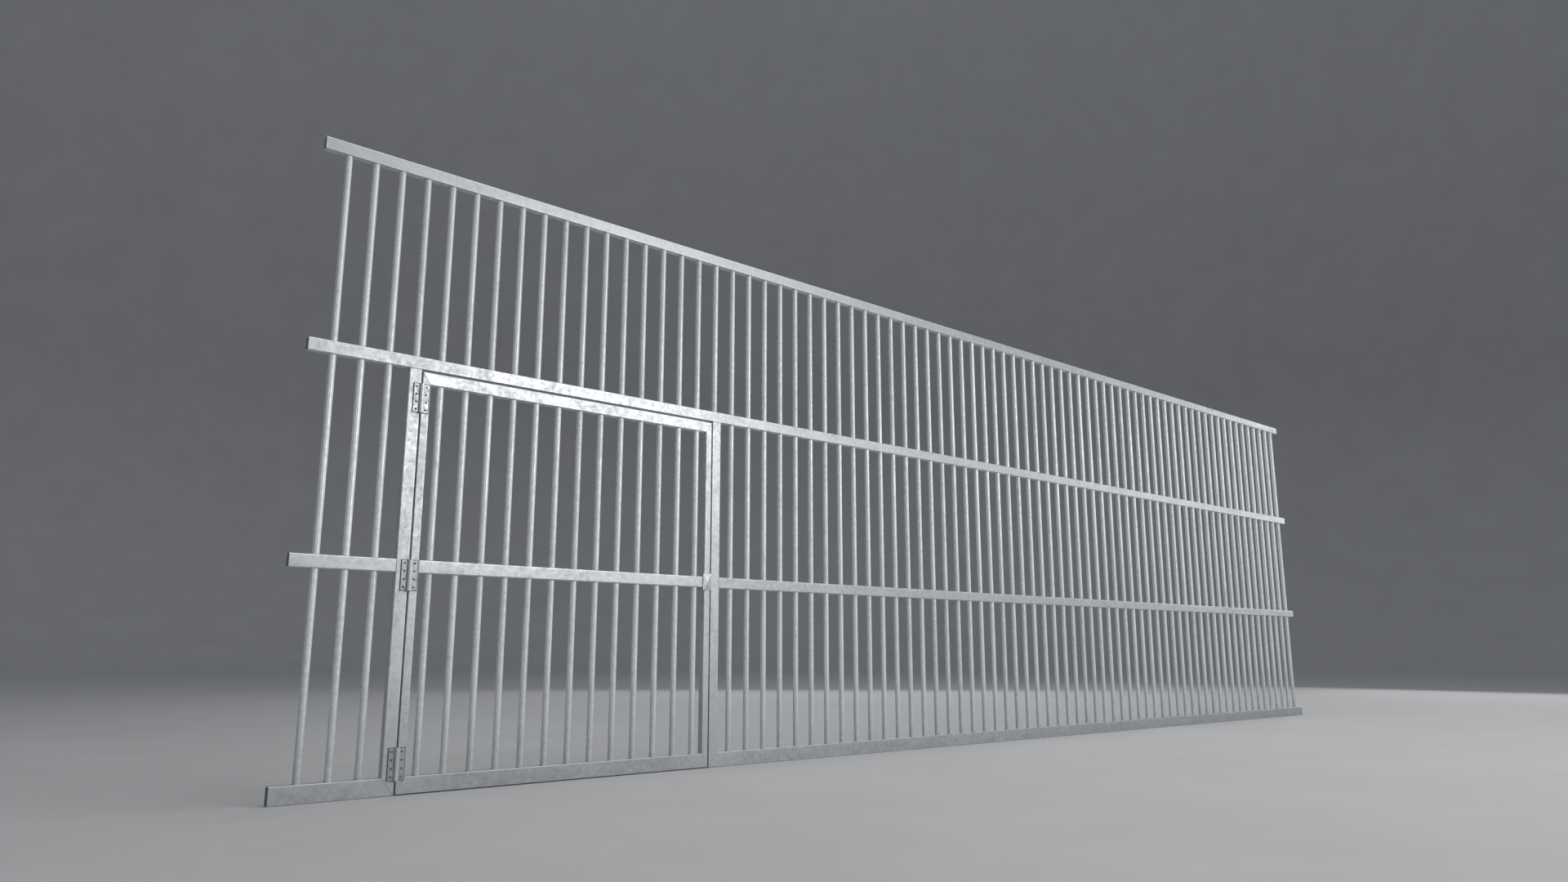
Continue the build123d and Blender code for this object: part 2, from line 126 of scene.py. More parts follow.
class Tree:
    """A short way to write a material's nodes."""

    def __init__(self, name):
        self.material = bpy.data.materials.new(name)
        self.material.use_nodes = True
        self.nodes = self.material.node_tree.nodes
        self.links = self.material.node_tree.links
        self.shader = self.nodes["Principled BSDF"]

    def set(self, node, socket, value):
        target = node.inputs[socket]
        if isinstance(value, bpy.types.NodeSocket):
            self.links.new(value, target)
        else:
            target.default_value = value

    def node(self, kind, inputs=(), **settings):
        made = self.nodes.new(kind)
        for key, value in settings.items():
            setattr(made, key, value)
        for socket, value in dict(inputs).items():
            self.set(made, socket, value)
        return made

    def place(self, stretch):
        """Object coordinates moved by each tube's own offset, so that neighbours differ."""
        where = self.node("ShaderNodeTexCoord").outputs["Object"]
        shift = self.node("ShaderNodeAttribute", attribute_name="shift").outputs["Vector"]
        moved = self.node("ShaderNodeVectorMath", {0: where, 1: shift}, operation="ADD")
        scaled = self.node(
            "ShaderNodeVectorMath", {0: moved.outputs[0], 1: stretch}, operation="MULTIPLY"
        )
        return scaled.outputs[0]

    def attribute(self, name):
        return self.node("ShaderNodeAttribute", attribute_name=name).outputs["Fac"]

    def noise(self, place, scale, detail=3.0, roughness=0.55, distortion=0.0):
        inputs = {
            "Vector": place,
            "Scale": scale,
            "Detail": detail,
            "Roughness": roughness,
            "Distortion": distortion,
        }
        return self.node("ShaderNodeTexNoise", inputs).outputs["Fac"]

    def cells(self, place, scale, smoothness):
        """A value from 0 to 1 for each crystal of the zinc, softened where two meet."""
        inputs = {"Vector": place, "Scale": scale, "Smoothness": smoothness}
        made = self.node("ShaderNodeTexVoronoi", inputs, feature="SMOOTH_F1")
        return self.node("ShaderNodeSeparateColor", {"Color": made.outputs["Color"]}).outputs[0]

    def math(self, operation, first, second=0.0, clamp=False):
        inputs = {0: first, 1: second}
        return self.node("ShaderNodeMath", inputs, operation=operation, use_clamp=clamp).outputs[0]

    def span(self, value, low, high, out_low=0.0, out_high=1.0):
        """Value from low..high to out_low..out_high, held at both ends."""
        inputs = {"Value": value, 1: low, 2: high, 3: out_low, 4: out_high}
        return self.node("ShaderNodeMapRange", inputs, clamp=True).outputs[0]

    def ramp(self, value, stops):
        made = self.node("ShaderNodeValToRGB", {"Fac": value})
        elements = made.color_ramp.elements
        for index, (position, colour) in enumerate(stops):
            element = elements[index] if index < 2 else elements.new(position)
            element.position = position
            element.color = (*colour, 1)
        return made.outputs["Color"]

    def mix(self, share, first, second):
        made = self.node("ShaderNodeMix", data_type="RGBA")
        for socket, value in ((0, share), (6, first), (7, second)):
            if isinstance(value, tuple):
                value = (*value, 1)
            self.set(made, socket, value)
        return made.outputs[2]

    def bump(self, height, distance, strength=1.0, normal=None):
        inputs = {"Height": height, "Distance": distance, "Strength": strength}
        if normal is not None:
            inputs["Normal"] = normal
        return self.node("ShaderNodeBump", inputs).outputs["Normal"]

    def finish(self, colour, roughness, metallic, normal):
        self.set(self.shader, "Base Color", colour)
        self.set(self.shader, "Roughness", roughness)
        self.set(self.shader, "Metallic", metallic)
        self.set(self.shader, "Normal", normal)
        return self.material


def galvanised(name, stretch, light=1.0, crystal=60.0, metallic=0.84):
    """Dipped zinc: cloudy blue-grey with faint crystals, a chalky bloom, and edges made brighter by
    wear and by a painted highlight.

    It darkens over the weld beads and towards the bottom.
    """
    tree = Tree(name)
    place = tree.place(stretch)
    even = tree.place((1.0, 1.0, 1.0))
    drift = tree.span(tree.noise(place, 1.6, 2.0, 0.5), 0.30, 0.70)
    cloud = tree.span(tree.noise(place, 10.0, 4.0, 0.6, 0.3), 0.28, 0.72)
    patches = tree.span(tree.noise(even, 34.0, 4.0, 0.62, 0.35), 0.28, 0.72)
    speckle = tree.span(tree.noise(even, 125.0, 2.0, 0.6), 0.25, 0.75)
    flakes = tree.cells(even, crystal, 0.3)
    grain = tree.noise(even, 420.0, 2.0, 0.6)

    value = tree.math("MULTIPLY", cloud, 0.20)
    shares = ((patches, 0.25), (speckle, 0.17), (flakes, 0.20), (drift, 0.12), (grain, 0.06))
    for part, share in shares:
        value = tree.math("ADD", value, tree.math("MULTIPLY", part, share))
    value = tree.math("ADD", value, tree.math("MULTIPLY", tree.attribute("tone"), 0.06))

    dark = tuple(light * part for part in (0.44, 0.465, 0.50))
    middle = tuple(light * part for part in (0.61, 0.635, 0.665))
    pale = tuple(min(0.96, light * part) for part in (0.745, 0.765, 0.785))
    colour = tree.ramp(value, [(0.14, dark), (0.86, pale), (0.49, middle)])

    bloom = tree.span(tree.noise(even, 19.0, 6.0, 0.7, 0.5), 0.50, 0.74)
    bloom = tree.math("MULTIPLY", bloom, 0.25)
    colour = tree.mix(bloom, colour, (0.74, 0.755, 0.77))
    # Edges: partly wear and partly a painted highlight, painted paler and made smoother.
    edge = tree.attribute("edge")
    edge_wear_and_highlight = tree.math("MULTIPLY", edge, tree.span(patches, 0.2, 0.8, 0.2, 0.8))
    colour = tree.mix(edge_wear_and_highlight, colour, (0.84, 0.85, 0.86))
    bead = tree.attribute("bead")
    colour = tree.mix(tree.math("MULTIPLY", bead, 0.5), colour, (0.33, 0.35, 0.38))

    # Darker and rougher towards the bottom, fading out 0.55 m above the ground.
    height = tree.node("ShaderNodeSeparateXYZ", {0: even}).outputs[2]
    foot = tree.span(height, 0.0, 0.55, 1.0, 0.0)
    low_darkening = tree.math("MULTIPLY", foot, tree.span(patches, 0.2, 0.9, 0.4, 1.0))
    colour = tree.mix(tree.math("MULTIPLY", low_darkening, 0.60), colour, (0.25, 0.25, 0.255))

    roughness = tree.span(value, 0.2, 0.8, 0.52, 0.34)
    roughness = tree.math("ADD", roughness, tree.math("MULTIPLY", bloom, 0.40))
    roughness = tree.math("ADD", roughness, tree.math("MULTIPLY", low_darkening, 0.20))
    roughness = tree.math("SUBTRACT", roughness, tree.math("MULTIPLY", edge_wear_and_highlight, 0.08), clamp=True)
    metal = tree.math("SUBTRACT", metallic, tree.math("MULTIPLY", bloom, 0.9), clamp=True)

    wave = tree.noise(even, 5.0, 1.0, 0.4)
    normal = tree.bump(wave, 1.2 * MM, 0.5)
    normal = tree.bump(flakes, 0.10 * MM, 0.5, normal)
    normal = tree.bump(grain, 0.06 * MM, 0.6, normal)
    normal = tree.bump(tree.noise(even, 130.0, 3.0, 0.6), 0.22 * MM, 0.5, normal)
    return tree.finish(colour, roughness, metal, normal)


def plated(name, base, roughness_range, scratch=(1.0, 1.0, 1.0)):
    """Plated or bare bright metal with faint handling marks."""
    tree = Tree(name)
    even = tree.place((1.0, 1.0, 1.0))
    drawn = tree.place(scratch)
    cloud = tree.noise(even, 45.0, 4.0, 0.6, 0.5)
    fine = tree.noise(drawn, 700.0, 3.0, 0.6)
    low = tuple(part * 0.72 for part in base)
    high = tuple(min(1.0, part * 1.22) for part in base)
    value = tree.math("ADD", tree.math("MULTIPLY", cloud, 0.75), tree.math("MULTIPLY", fine, 0.25))
    colour = tree.ramp(value, [(0.32, low), (0.70, high)])
    roughness = tree.span(value, 0.3, 0.7, roughness_range[1], roughness_range[0])
    normal = tree.bump(fine, 0.04 * MM, 0.5)
    normal = tree.bump(tree.noise(even, 160.0, 2.0, 0.5), 0.08 * MM, 0.4, normal)
    return tree.finish(colour, roughness, 0.95, normal)


def hinge_plate(hinge, leaf, outer):
    """Plated steel for one hinge leaf: painted shade along its free edges, a painted highlight
    round its knuckle.
    """
    tree = Tree(hinge + leaf + "_zinc")
    low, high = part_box(hinge + leaf)
    pin_low, pin_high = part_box(hinge + "pin")
    pin = (pin_low + pin_high) / 2
    barrel_radius = pin.y - low.y
    even = tree.place((1.0, 1.0, 1.0))
    cloud = tree.noise(even, 60.0, 4.0, 0.6, 0.4)
    fine = tree.noise(even, 500.0, 2.0, 0.6)
    colour = tree.ramp(cloud, [(0.32, (0.36, 0.375, 0.395)), (0.68, (0.56, 0.575, 0.59))])
    parts = tree.node("ShaderNodeSeparateXYZ", {0: even}).outputs
    # Painted shade: the leaf darkens to near black along its free side, foot and head, where shade
    # falls in the gap round it.
    from_side = tree.math("ABSOLUTE", tree.math("SUBTRACT", parts[0], (low, high)[outer].x))
    from_foot = tree.math("ABSOLUTE", tree.math("SUBTRACT", parts[2], low.z))
    from_head = tree.math("ABSOLUTE", tree.math("SUBTRACT", parts[2], high.z))
    nearest = tree.math("MINIMUM", from_side, tree.math("MINIMUM", from_foot, from_head))
    spread = tree.math("MULTIPLY", cloud, 2.5 * MM)
    painted_edge_shade = tree.span(tree.math("SUBTRACT", nearest, spread), 0.3 * MM, 2.8 * MM, 0.85, 0.0)
    colour = tree.mix(painted_edge_shade, colour, (0.09, 0.09, 0.095))
    # Painted highlight: the knuckle's outer face is painted near white, standing in for the light
    # it would reflect.
    from_pin_x = tree.math("SUBTRACT", parts[0], pin.x)
    from_pin_y = tree.math("SUBTRACT", parts[1], pin.y)
    squares = (tree.math("MULTIPLY", part, part) for part in (from_pin_x, from_pin_y))
    from_pin = tree.math("SQRT", tree.math("ADD", *squares))
    painted_knuckle_highlight = tree.span(from_pin, barrel_radius, barrel_radius + 0.8 * MM, 0.85, 0.0)
    colour = tree.mix(painted_knuckle_highlight, colour, (0.80, 0.81, 0.82))
    roughness = tree.span(cloud, 0.3, 0.7, 0.46, 0.30)
    roughness = tree.math("ADD", roughness, tree.math("MULTIPLY", painted_edge_shade, 0.25), clamp=True)
    normal = tree.bump(fine, 0.05 * MM, 0.5)
    normal = tree.bump(tree.noise(even, 150.0, 2.0, 0.5), 0.10 * MM, 0.4, normal)
    return tree.finish(colour, roughness, 0.9, normal)


def moulded(name, base):
    """Black moulded plastic with a fine spark-eroded grain."""
    tree = Tree(name)
    even = tree.place((1.0, 1.0, 1.0))
    grain = tree.noise(even, 900.0, 3.0, 0.6)
    rub = tree.noise(even, 60.0, 4.0, 0.6)
    colour = tree.ramp(rub, [(0.35, base), (0.75, tuple(part * 2.2 + 0.01 for part in base))])
    roughness = tree.span(rub, 0.3, 0.7, 0.55, 0.38)
    return tree.finish(colour, roughness, 0.0, tree.bump(grain, 0.06 * MM, 0.6))


ALONG_X = (0.35, 1.0, 1.0)
ALONG_Z = (1.0, 1.0, 0.35)
RAIL_ZINC = galvanised("rail_zinc", ALONG_X)
POST_ZINC = galvanised("post_zinc", ALONG_Z)
BAR_ZINC = galvanised("bar_zinc", ALONG_Z, 1.30, 75.0, 0.55)
SHEET_ZINC = galvanised("sheet_zinc", (1.0, 1.0, 1.0), 1.0, 90.0)
PIN_STEEL = plated("pin_steel", (0.50, 0.50, 0.51), (0.22, 0.36), scratch=(1.0, 1.0, 0.1))
SCREW_ZINC = plated("screw_zinc", (0.27, 0.275, 0.285), (0.34, 0.52))
BOLT_STEEL = plated("bolt_steel", (0.55, 0.555, 0.56), (0.20, 0.34), scratch=(0.08, 1.0, 1.0))
BUSH_BRASS = plated("bush_brass", (0.70, 0.52, 0.25), (0.26, 0.42))
KNOB_BLACK = moulded("knob_black", (0.022, 0.022, 0.024))


# ---------------------------------------------------------------------------
# Mesh building
# ---------------------------------------------------------------------------


class Shell:
    """A mesh in the making. Every vertex carries its tube's tone and texture offset."""

    def __init__(self):
        self.bm = bmesh.new()
        floats = self.bm.verts.layers.float
        self.tone_layer = floats.new("tone")
        self.edge_layer = floats.new("edge")
        self.bead_layer = floats.new("bead")
        self.shift_layer = self.bm.verts.layers.float_vector.new("shift")
        self.next_tube()

    def next_tube(self):
        """New tone and offset, for the next tube or bead run."""
        self.tone = rng.uniform(-1, 1)
        self.shift = Vector(rng.uniform(-9, 9) for _ in range(3))
        self.shift.z = 0

    def vertex(self, point, edge=0.0, bead=0.0):
        made = self.bm.verts.new(point)
        made[self.tone_layer] = self.tone
        made[self.edge_layer] = edge
        made[self.bead_layer] = bead
        made[self.shift_layer] = self.shift
        return made

    def bridge(self, first, second, smooth=True):
        """Quads between two closed rings of the same count."""
        count = len(first)
        for index in range(count):
            after = (index + 1) % count
            face = self.bm.faces.new((first[index], first[after], second[after], second[index]))
            face.smooth = smooth

    def fill_attributes(self, mesh):
        """Give a cut mesh one tone and offset, since the cut leaves its new vertices without."""
        for index in range(len(mesh.vertices)):
            mesh.attributes["tone"].data[index].value = self.tone
            mesh.attributes["shift"].data[index].vector = self.shift

    def piece(self, name, body, slot, material, *nodes, cutters=(), sharp=40):
        bmesh.ops.recalc_face_normals(self.bm, faces=self.bm.faces)
        mesh = bpy.data.meshes.new(name)
        self.bm.to_mesh(mesh)
        self.bm.free()
        made = bpy.data.objects.new(name, mesh)
        bpy.context.scene.collection.objects.link(made)
        if cutters:
            cut_away(made, cutters)
            self.fill_attributes(made.data)
        made.data.set_sharp_from_angle(angle=math.radians(sharp))
        made.data.materials.append(material)
        weighted = made.modifiers.new("flat_faces", "WEIGHTED_NORMAL")
        weighted.keep_sharp = True
        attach(made, body)
        if nodes:
            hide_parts(*nodes)
        return made


def rounded_loop(width, height, radius):
    """A rounded rectangle about the origin, as (across, up, wear and painted highlight) points.

    Wear and painted highlight are full on the rounded corners and fade to nothing a little way in
    along each flat.
    """
    points = []
    for quarter in range(4):
        side_x = 1 if quarter in (0, 3) else -1
        side_y = 1 if quarter in (0, 1) else -1
        centre_x = side_x * (width / 2 - radius)
        centre_y = side_y * (height / 2 - radius)
        arc = []
        for step in range(CORNER_STEPS + 1):
            angle = math.radians(90 * (quarter + step / CORNER_STEPS))
            # Wear and painted highlight: full inside the arc, 0.6 at its ends.
            corner_wear_and_highlight = 1.0 if 0 < step < CORNER_STEPS else 0.6
            across = centre_x + radius * math.cos(angle)
            up = centre_y + radius * math.sin(angle)
            arc.append((across, up, corner_wear_and_highlight))
        lead_in = beside(arc[0], 90 * (quarter - 1))
        lead_out = beside(arc[-1], 90 * (quarter + 2))
        points += [lead_in, *arc, lead_out]
    return points


def beside(point, heading):
    """The point with neither wear nor painted highlight at the far side of their band, in a heading
    in degrees.
    """
    angle = math.radians(heading)
    across = point[0] + WEAR_AND_HIGHLIGHT_BAND * math.cos(angle)
    up = point[1] + WEAR_AND_HIGHLIGHT_BAND * math.sin(angle)
    return (across, up, 0.0)


class Cut:
    """How a tube ends: square, or mitred with its long side at the low or high edge."""

    def __init__(self, long_side=None, inset=0.0):
        self.long_side = long_side
        self.inset = inset

    def depth(self, share):
        """How far in the end lies at share 0..1 of the way across the tube."""
        if self.long_side is None:
            return 0.0
        return self.inset * (share if self.long_side == "low" else 1 - share)


SQUARE = Cut()


def hollow_section(shell, axis, low, high, start=SQUARE, stop=SQUARE):
    """A rectangular hollow section along axis 0 (X) or 2 (Z), filling the box low..high."""
    shell.next_tube()
    across = 2 if axis == 0 else 0
    width = high[across] - low[across]
    depth = high.y - low.y
    middle_y = (high.y + low.y) / 2
    length = high[axis] - low[axis]

    def ring(shrink, along, end_cut, sign, edge=None):
        """One ring of vertices at a distance along the tube, following an end's mitre."""
        corner = max(SECTION_CORNER - shrink, 0.4 * MM)
        made = []
        for y, side, on_corner in rounded_loop(depth - 2 * shrink, width - 2 * shrink, corner):
            share = (side + width / 2) / width
            point = Vector()
            point[across] = low[across] + width / 2 + side
            point[axis] = along + sign * end_cut.depth(share)
            point.y = middle_y + y
            made.append(shell.vertex(point, on_corner if edge is None else edge))
        return made

    strips = max(1, round(length / RAIL_STRIP))
    outer = []
    inner = []
    for cut, along, sign in ((start, low[axis], 1), (stop, high[axis], -1)):
        chamfer = END_CHAMFER if cut is SQUARE else 0.0
        # Tube ends and their inner edges carry 0.8 of the wear and painted highlight.
        ends = [ring(chamfer, along, cut, sign, 0.8)]
        if chamfer:
            ends.append(ring(0.0, along + sign * chamfer, cut, sign))
        inside = [ring(SECTION_WALL - chamfer, along, cut, sign, 0.8)]
        if chamfer:
            inside.append(ring(SECTION_WALL, along + sign * chamfer, cut, sign, 0.0))
        shell.bridge(ends[0], inside[0])
        for rings in (ends, inside):
            for first, second in zip(rings, rings[1:]):
                shell.bridge(first, second)
        outer.append(ends[-1])
        inner.append(inside[-1])

    middles = []
    first_free = low[axis] + start.inset
    last_free = high[axis] - stop.inset
    for strip in range(1, strips):
        along = first_free + (last_free - first_free) * strip / strips
        middles.append(ring(0.0, along, SQUARE, 1))
    run = [outer[0], *middles, outer[1]]
    for first, second in zip(run, run[1:]):
        shell.bridge(first, second)
    shell.bridge(inner[0], inner[1])


def round_bar(shell, x, y, z_low, z_high, radius):
    """One upright tube with its two end rings of weld."""
    shell.next_tube()
    rings = []
    for size, z in (
        (radius - BAR_WALL, z_low),
        (radius, z_low),
        (radius, z_high),
        (radius - BAR_WALL, z_high),
    ):
        ring = []
        for step in range(BAR_SEGMENTS):
            angle = 2 * math.pi * step / BAR_SEGMENTS
            point = (x + size * math.cos(angle), y + size * math.sin(angle), z)
            ring.append(shell.vertex(point))
        rings.append(ring)
    for index, first in enumerate(rings):
        shell.bridge(first, rings[(index + 1) % len(rings)])
    ring_weld(shell, Vector((x, y, z_low)), radius, 1)
    ring_weld(shell, Vector((x, y, z_high)), radius, -1)


def corner_drop(y):
    """How far a rail's rounded edge falls below its flat, at a distance y from its middle."""
    over = abs(y) - (SECTION_DEPTH / 2 - SECTION_CORNER)
    if over <= 0:
        return 0.0
    return SECTION_CORNER - math.sqrt(max(SECTION_CORNER**2 - over**2, 0.0))


def ring_weld(shell, centre, radius, up):
    """The bead round a bar where it meets a rail; up is +1 on a rail below, -1 above."""
    rings = []
    start = rng.uniform(0, 2 * math.pi)
    for step in range(RING_STEPS):
        angle = 2 * math.pi * step / RING_STEPS
        size = RING_RADIUS * (1 + BEAD_UNEVEN * rng.uniform(-1, 1))
        if (angle - start) % (2 * math.pi) < RING_OVERLAP_TURN:
            size *= RING_OVERLAP_SIZE
        out = Vector((math.cos(angle), math.sin(angle), 0))
        stand_off = RING_STAND_OFF * size
        hub = centre + out * (radius + stand_off)
        hub.z += up * (stand_off - corner_drop(hub.y - centre.y))
        ring = []
        for side in range(BEAD_SIDES):
            turn = 2 * math.pi * side / BEAD_SIDES
            point = hub + out * (size * math.cos(turn)) + Vector((0, 0, size * math.sin(turn)))
            ring.append(shell.vertex(point, 0.0, 1.0))
        rings.append(ring)
    for index, first in enumerate(rings):
        shell.bridge(first, rings[(index + 1) % RING_STEPS])


def weld_run(shell, corners, radius, closed):
    """A bead of weld along straight runs between corners."""
    shell.next_tube()
    path = []
    last = len(corners) if closed else len(corners) - 1
    for index in range(last):
        first, second = corners[index], corners[(index + 1) % len(corners)]
        steps = max(2, round((second - first).length / BEAD_STEP))
        path += [first.lerp(second, step / steps) for step in range(steps)]
    if not closed:
        path.append(corners[-1])
    rings = []
    for index, point in enumerate(path):
        before = path[index - 1] if closed or index else point
        after = path[(index + 1) % len(path)] if closed or index + 1 < len(path) else point
        heading = (after - before).normalized()
        side = heading.cross(BEAD_REFERENCE).normalized()
        other = heading.cross(side)
        size = radius * (1 + BEAD_UNEVEN * rng.uniform(-1, 1))
        ring = []
        for step in range(BEAD_SIDES):
            turn = 2 * math.pi * step / BEAD_SIDES
            offset = side * (size * math.cos(turn)) + other * (size * math.sin(turn))
            ring.append(shell.vertex(point + offset, 0.0, 1.0))
        rings.append(ring)
    count = len(rings)
    for index in range(count if closed else count - 1):
        shell.bridge(rings[index], rings[(index + 1) % count])
    if not closed:
        shell.bm.faces.new(rings[0])
        shell.bm.faces.new(rings[-1])


# ---------------------------------------------------------------------------
# The long members
# ---------------------------------------------------------------------------

SECTION_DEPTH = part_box("top_rail")[1].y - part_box("top_rail")[0].y
post_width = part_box("hinge_post")[1].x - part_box("hinge_post")[0].x
stile_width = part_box("hinge_stile")[1].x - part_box("hinge_stile")[0].x
foot_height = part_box("bottom_rail_left")[1].z
gate_foot_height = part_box("gate_bottom_rail")[1].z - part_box("gate_bottom_rail")[0].z
gate_head_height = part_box("gate_top_rail")[1].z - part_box("gate_top_rail")[0].z

RAILS = [
    ("top_rail", "panel", SQUARE, SQUARE),
    ("upper_mid_rail", "panel", SQUARE, SQUARE),
    ("lower_mid_rail_left", "panel", SQUARE, SQUARE),
    ("lower_mid_rail_right", "panel", SQUARE, SQUARE),
    ("bottom_rail_left", "panel", SQUARE, Cut("low", post_width)),
    ("bottom_rail_right", "panel", Cut("low", post_width), SQUARE),
    ("gate_mid_rail", "gate", SQUARE, SQUARE),
    ("gate_bottom_rail", "gate", Cut("low", stile_width), Cut("low", stile_width)),
    ("gate_top_rail", "gate", Cut("high", stile_width), Cut("high", stile_width)),
]
UPRIGHTS = [
    ("hinge_post", "panel", Cut("high", foot_height), SQUARE),
    ("latch_post", "panel", Cut("low", foot_height), SQUARE),
    ("hinge_stile", "gate", Cut("low", gate_foot_height), Cut("low", gate_head_height)),
    ("latch_stile", "gate", Cut("high", gate_foot_height), Cut("high", gate_head_height)),
]


def round_cutter(axis, centre, radius, length):
    """A solid cylinder along axis 0 (X) or 1 (Y), to drill a hole with."""
    turn = Matrix.Rotation(math.radians(90), 4, "Y" if axis == 0 else "X")
    bm = bmesh.new()
    bmesh.ops.create_cone(
        bm,
        cap_ends=True,
        segments=HOLE_SEGMENTS,
        radius1=radius,
        radius2=radius,
        depth=length,
        matrix=Matrix.Translation(centre) @ turn,
    )
    return cutter_object(bm)


def slot_cutter(centre, length, width, depth):
    """A solid with round ends, lying along X, to cut a slot through a wall facing Y."""
    rings = []
    for y in (centre.y - depth / 2, centre.y + depth / 2):
        ring = []
        for step in range(HOLE_SEGMENTS):
            angle = math.radians(360 * (step + 0.5) / HOLE_SEGMENTS)
            side = math.copysign(length / 2 - width / 2, math.cos(angle))
            x = centre.x + side + width / 2 * math.cos(angle)
            ring.append((x, y, centre.z + width / 2 * math.sin(angle)))
        rings.append(ring)
    bm = bmesh.new()
    made = [[bm.verts.new(point) for point in ring] for ring in rings]
    for step in range(HOLE_SEGMENTS):
        after = (step + 1) % HOLE_SEGMENTS
        bm.faces.new((made[0][step], made[0][after], made[1][after], made[1][step]))
    bm.faces.new(made[0])
    bm.faces.new(made[1])
    bmesh.ops.recalc_face_normals(bm, faces=bm.faces)
    return cutter_object(bm)


def cutter_object(bm):
    mesh = bpy.data.meshes.new("cutter")
    bm.to_mesh(mesh)
    bm.free()
    cutter = bpy.data.objects.new("cutter", mesh)
    bpy.context.scene.collection.objects.link(cutter)
    return cutter


def cut_away(piece, cutters):
    """Take each cutter out of a piece's mesh, then delete the cutters."""
    for cutter in cutters:
        cut = piece.modifiers.new("cut", "BOOLEAN")
        cut.operation = "DIFFERENCE"
        cut.solver = "EXACT"
        cut.object = cutter
    bpy.context.view_layer.update()
    evaluated = piece.evaluated_get(bpy.context.evaluated_depsgraph_get())
    piece.data = bpy.data.meshes.new_from_object(evaluated)
    piece.modifiers.clear()
    for cutter in cutters:
        bpy.data.objects.remove(cutter)


def latch_cutters(node):
    """The bolt's hole in the latch post, or the bush bores, slot and screw holes in the stile."""
    low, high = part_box(node)
    bolt_low, bolt_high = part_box("latch_bolt")
    axis_z = (bolt_low.z + bolt_high.z) / 2
    if node == "latch_post":
        return [round_cutter(0, Vector((low.x, 0, axis_z)), BOLT_HOLE_RADIUS, 4 * SECTION_WALL)]
    middle_x = (low.x + high.x) / 2
    width = high.x - low.x
    centre = Vector((middle_x, 0, axis_z))
    cutters = [round_cutter(0, centre, BUSH_HOLE_RADIUS, width + 2 * SECTION_WALL)]
    back = Vector((middle_x, high.y, axis_z))
    cutters.append(slot_cutter(back, SLOT_LENGTH, SLOT_WIDTH, 4 * SECTION_WALL))
    for side in (-1, 1):
        for level in (-1, 1):
            offset = Vector((side * PLATE_SCREWS_X / 2, 0, level * PLATE_SCREWS_Z / 2))
            cutters.append(round_cutter(1, back + offset, PLATE_SCREW_RADIUS, 4 * SECTION_WALL))
    return cutters


def build_members():
    for axis, members, material in ((0, RAILS, RAIL_ZINC), (2, UPRIGHTS, POST_ZINC)):
        for node, body, start, stop in members:
            shell = Shell()
            low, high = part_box(node)
            hollow_section(shell, axis, low, high, start, stop)
            cutters = latch_cutters(node) if node in ("latch_post", "latch_stile") else ()
            name = node + "_tube"
            shell.piece(name, body, "galvanised_section", material, node, cutters=cutters)


def build_bars():
    record = frame["record"]["behaviour"]["bodies"]
    for body, nodes in record.items():
        for node in nodes:
            if not node.endswith("_bars"):
                continue
            low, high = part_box(node)
            radius = (high.y - low.y) / 2
            count = round((high.x - low.x - 2 * radius) / BAR_PITCH) + 1
            shell = Shell()
            for index in range(count):
                x = low.x + radius + index * BAR_PITCH
                round_bar(shell, x, (low.y + high.y) / 2, low.z, high.z, radius)
            shell.piece(node[:-1] + "_tubes", body, "galvanised_bar", BAR_ZINC, node)


# ---------------------------------------------------------------------------
# Welds between the long members
# ---------------------------------------------------------------------------


def butt_weld(shell, node, axis, end):
    """A bead round a square end (0 low, 1 high) of a tube where it meets another."""
    low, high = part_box(node)
    across = 2 if axis == 0 else 0
    corners = []
    for share_y, share_across in ((0, 0), (1, 0), (1, 1), (0, 1)):
        point = Vector()
        point[axis] = (low, high)[end][axis]
        point.y = (low.y + BUTT_INSET, high.y - BUTT_INSET)[share_y]
        inset = BUTT_INSET * (1 if share_across == 0 else -1)
        point[across] = (low, high)[share_across][across] + inset
        corners.append(point)
    weld_run(shell, corners, BUTT_RADIUS, closed=True)


def mitre_weld(shell, inner, outer):
    """Two flat beads along a mitre, on the front and on the back, from (x, z) to (x, z)."""
    low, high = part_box("top_rail")
    span = Vector((outer[0] - inner[0], 0, outer[1] - inner[1]))
    start = Vector((inner[0], 0, inner[1])) + span * MITRE_START
    stop = Vector((inner[0], 0, inner[1])) + span * MITRE_STOP
    for y in (low.y + MITRE_INSET, high.y - MITRE_INSET):
        corners = [Vector((point.x, y, point.z)) for point in (start, stop)]
        weld_run(shell, corners, MITRE_RADIUS, closed=False)


def build_panel_welds():
    shell = Shell()
    for post in ("hinge_post", "latch_post"):
        butt_weld(shell, post, 2, 1)
    butt_weld(shell, "lower_mid_rail_left", 0, 1)
    butt_weld(shell, "lower_mid_rail_right", 0, 0)
    hinge_low, hinge_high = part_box("hinge_post")
    latch_low, latch_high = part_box("latch_post")
    mitre_weld(shell, (hinge_low.x, foot_height), (hinge_high.x, 0))
    mitre_weld(shell, (latch_high.x, foot_height), (latch_low.x, 0))
    shell.piece("panel_frame_welds", "panel", "galvanised_section", POST_ZINC)


